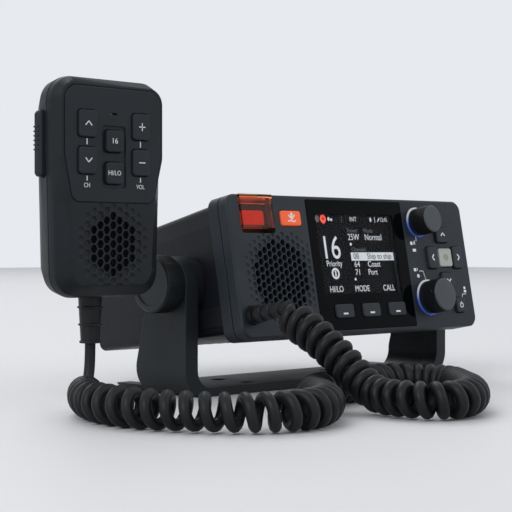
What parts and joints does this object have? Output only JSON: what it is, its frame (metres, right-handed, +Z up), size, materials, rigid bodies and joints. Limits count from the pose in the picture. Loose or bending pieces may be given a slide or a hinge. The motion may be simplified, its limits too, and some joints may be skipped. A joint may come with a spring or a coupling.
{
  "type": "vhf marine radio",
  "caption": "Fixed-mount marine VHF radio: a wide screen and keypad panel tilting in a U-shaped bracket, with a fist microphone on a curly cord.",
  "frame": {"origin": "on the surface it stands on, under the middle of the bracket's base", "axes": "+X to the right as seen from the front, +Y towards the back, +Z up; the panel faces -Y"},
  "size_m": [0.327, 0.2676, 0.1559],
  "materials": {
    "bracket_plastic": "satin, fine grain",
    "case_plastic": "satin, fine grain",
    "bezel_plastic": "satin, fine grain",
    "key_plastic": "satin",
    "white_key": "satin",
    "orange_key": "satin",
    "red_button": "satin",
    "amber_clear": "clear, glossy",
    "light_guide": "glossy",
    "knob_plastic": "satin, fine ribs",
    "screen_glass": "glossy",
    "lcd": "glossy",
    "board": "satin",
    "black_parts": "satin",
    "rubber": "matte",
    "key_rubber": "matte",
    "cord_rubber": "matte",
    "steel": "brushed",
    "brass": "turned",
    "nickel": "polished"
  },
  "bodies": {
    "bracket": {"bracket": "bracket_plastic", "friction_washers": "rubber", "left_knob_washer": "steel", "right_knob_washer": "steel", "mic_coil_front": "cord_rubber", "mic_coil_rear": "cord_rubber", "handset_lead": "cord_rubber"},
    "radio": {"front_bezel": "bezel_plastic", "bezel_gasket": "rubber", "rear_case": "case_plastic", "case_screws": "steel", "gimbal_inserts": "brass", "screen_glass": "screen_glass", "lcd_module": "lcd", "display_board": "board", "main_board": "board", "radio_speaker": "black_parts", "knob_light_rings": "light_guide", "knob_encoders": "black_parts", "distress_hinge_pin": "steel", "antenna_socket": "nickel", "power_socket": "black_parts", "mic_cord_boot": "rubber"},
    "handset": {"handset_front_shell": "bezel_plastic", "handset_face_plate": "bezel_plastic", "handset_seal": "rubber", "handset_back_shell": "case_plastic", "handset_board": "board", "handset_speaker": "black_parts", "handset_microphone": "steel", "handset_screws": "steel", "hanger_button": "steel", "handset_boot": "rubber"},
    "left_clamp_knob": {"left_gimbal_knob": "knob_plastic", "left_gimbal_stud": "steel"},
    "right_clamp_knob": {"right_gimbal_knob": "knob_plastic", "right_gimbal_stud": "steel"},
    "distress_cover": {"distress_cover": "amber_clear"},
    "distress_button": {"distress_button": "red_button"},
    "mob_key": {"mob_key": "orange_key"},
    "soft_key_left": {"soft_key_left": "key_plastic"},
    "soft_key_middle": {"soft_key_middle": "key_plastic"},
    "soft_key_right": {"soft_key_right": "key_plastic"},
    "up_key": {"up_key": "key_plastic"},
    "down_key": {"down_key": "key_plastic"},
    "left_key": {"left_key": "key_plastic"},
    "right_key": {"right_key": "key_plastic"},
    "select_key": {"select_key": "white_key"},
    "power_key": {"power_key": "key_plastic"},
    "upper_shaft": {"upper_shaft": "steel"},
    "upper_knob": {"upper_knob": "knob_plastic"},
    "lower_shaft": {"lower_shaft": "steel"},
    "lower_knob": {"lower_knob": "knob_plastic"},
    "ptt_bar": {"ptt_bar": "key_rubber"},
    "channel_up_key": {"channel_up_key": "key_rubber"},
    "channel_down_key": {"channel_down_key": "key_rubber"},
    "volume_up_key": {"volume_up_key": "key_rubber"},
    "volume_down_key": {"volume_down_key": "key_rubber"},
    "sixteen_key": {"sixteen_key": "key_rubber"},
    "high_low_key": {"high_low_key": "key_rubber"}
  },
  "joints": [
    {"name": "radio_tilt", "type": "hinge", "parent": "bracket", "child": "radio", "pos_m": [0, -0.016, 0.058], "axis": [-1, 0, 0], "range_deg": [-25, 8], "deforming": ["mic_coil_front"]},
    {"name": "left_clamp_turn", "type": "hinge", "parent": "bracket", "child": "left_clamp_knob", "pos_m": [-0.1, -0.016, 0.058], "axis": [-1, 0, 0], "range_deg": [0, 360]},
    {"name": "right_clamp_turn", "type": "hinge", "parent": "bracket", "child": "right_clamp_knob", "pos_m": [0.1, -0.016, 0.058], "axis": [1, 0, 0], "range_deg": [0, 360]},
    {"name": "distress_cover_flip", "type": "hinge", "parent": "radio", "child": "distress_cover", "pos_m": [-0.0746, -0.04232, 0.10073], "axis": [-1, 0, 0], "range_deg": [0, 110], "stiffness_Nm_per_rad": 0.0006, "springref_deg": -20.05},
    {"name": "distress_button_press", "type": "slide", "parent": "radio", "child": "distress_button", "axis": [0, 0.9826, -0.1857], "range_m": [0, 0.0012], "stiffness_N_per_m": 400},
    {"name": "mob_key_press", "type": "slide", "parent": "radio", "child": "mob_key", "axis": [0, 0.9826, -0.1857], "range_m": [0, 0.001], "stiffness_N_per_m": 400},
    {"name": "soft_key_left_press", "type": "slide", "parent": "radio", "child": "soft_key_left", "axis": [0, 0.9826, -0.1857], "range_m": [0, 0.001], "stiffness_N_per_m": 400},
    {"name": "soft_key_middle_press", "type": "slide", "parent": "radio", "child": "soft_key_middle", "axis": [0, 0.9826, -0.1857], "range_m": [0, 0.001], "stiffness_N_per_m": 400},
    {"name": "soft_key_right_press", "type": "slide", "parent": "radio", "child": "soft_key_right", "axis": [0, 0.9826, -0.1857], "range_m": [0, 0.001], "stiffness_N_per_m": 400},
    {"name": "up_key_press", "type": "slide", "parent": "radio", "child": "up_key", "axis": [0, 0.9826, -0.1857], "range_m": [0, 0.001], "stiffness_N_per_m": 400},
    {"name": "down_key_press", "type": "slide", "parent": "radio", "child": "down_key", "axis": [0, 0.9826, -0.1857], "range_m": [0, 0.001], "stiffness_N_per_m": 400},
    {"name": "left_key_press", "type": "slide", "parent": "radio", "child": "left_key", "axis": [0, 0.9826, -0.1857], "range_m": [0, 0.001], "stiffness_N_per_m": 400},
    {"name": "right_key_press", "type": "slide", "parent": "radio", "child": "right_key", "axis": [0, 0.9826, -0.1857], "range_m": [0, 0.001], "stiffness_N_per_m": 400},
    {"name": "select_key_press", "type": "slide", "parent": "radio", "child": "select_key", "axis": [0, 0.9826, -0.1857], "range_m": [0, 0.001], "stiffness_N_per_m": 400},
    {"name": "power_key_press", "type": "slide", "parent": "radio", "child": "power_key", "axis": [0, 0.9826, -0.1857], "range_m": [0, 0.001], "stiffness_N_per_m": 400},
    {"name": "upper_knob_press", "type": "slide", "parent": "radio", "child": "upper_shaft", "axis": [0, 0.9826, -0.1857], "range_m": [0, 0.0012], "stiffness_N_per_m": 600},
    {"name": "upper_knob_turn", "type": "hinge", "parent": "upper_shaft", "child": "upper_knob", "pos_m": [0.0525, -0.05641, 0.09189], "axis": [0, 0.9826, -0.1857], "continuous": true},
    {"name": "lower_knob_press", "type": "slide", "parent": "radio", "child": "lower_shaft", "axis": [0, 0.9826, -0.1857], "range_m": [0, 0.0012], "stiffness_N_per_m": 600},
    {"name": "lower_knob_turn", "type": "hinge", "parent": "lower_shaft", "child": "lower_knob", "pos_m": [0.0539, -0.06445, 0.04934], "axis": [0, 0.9826, -0.1857], "continuous": true},
    {"name": "handset_lift", "type": "slide", "parent": "bracket", "child": "handset", "axis": [0, 0, 1], "range_m": [0, 0.12], "deforming": ["handset_lead", "mic_coil_rear"]},
    {"name": "ptt_bar_press", "type": "slide", "parent": "handset", "child": "ptt_bar", "axis": [1, 0, 0], "range_m": [0, 0.002], "stiffness_N_per_m": 500},
    {"name": "channel_up_key_press", "type": "slide", "parent": "handset", "child": "channel_up_key", "axis": [0, 1, 0], "range_m": [0, 0.001], "stiffness_N_per_m": 300},
    {"name": "channel_down_key_press", "type": "slide", "parent": "handset", "child": "channel_down_key", "axis": [0, 1, 0], "range_m": [0, 0.001], "stiffness_N_per_m": 300},
    {"name": "volume_up_key_press", "type": "slide", "parent": "handset", "child": "volume_up_key", "axis": [0, 1, 0], "range_m": [0, 0.001], "stiffness_N_per_m": 300},
    {"name": "volume_down_key_press", "type": "slide", "parent": "handset", "child": "volume_down_key", "axis": [0, 1, 0], "range_m": [0, 0.001], "stiffness_N_per_m": 300},
    {"name": "sixteen_key_press", "type": "slide", "parent": "handset", "child": "sixteen_key", "axis": [0, 1, 0], "range_m": [0, 0.001], "stiffness_N_per_m": 300},
    {"name": "high_low_key_press", "type": "slide", "parent": "handset", "child": "high_low_key", "axis": [0, 1, 0], "range_m": [0, 0.001], "stiffness_N_per_m": 300}
  ]
}
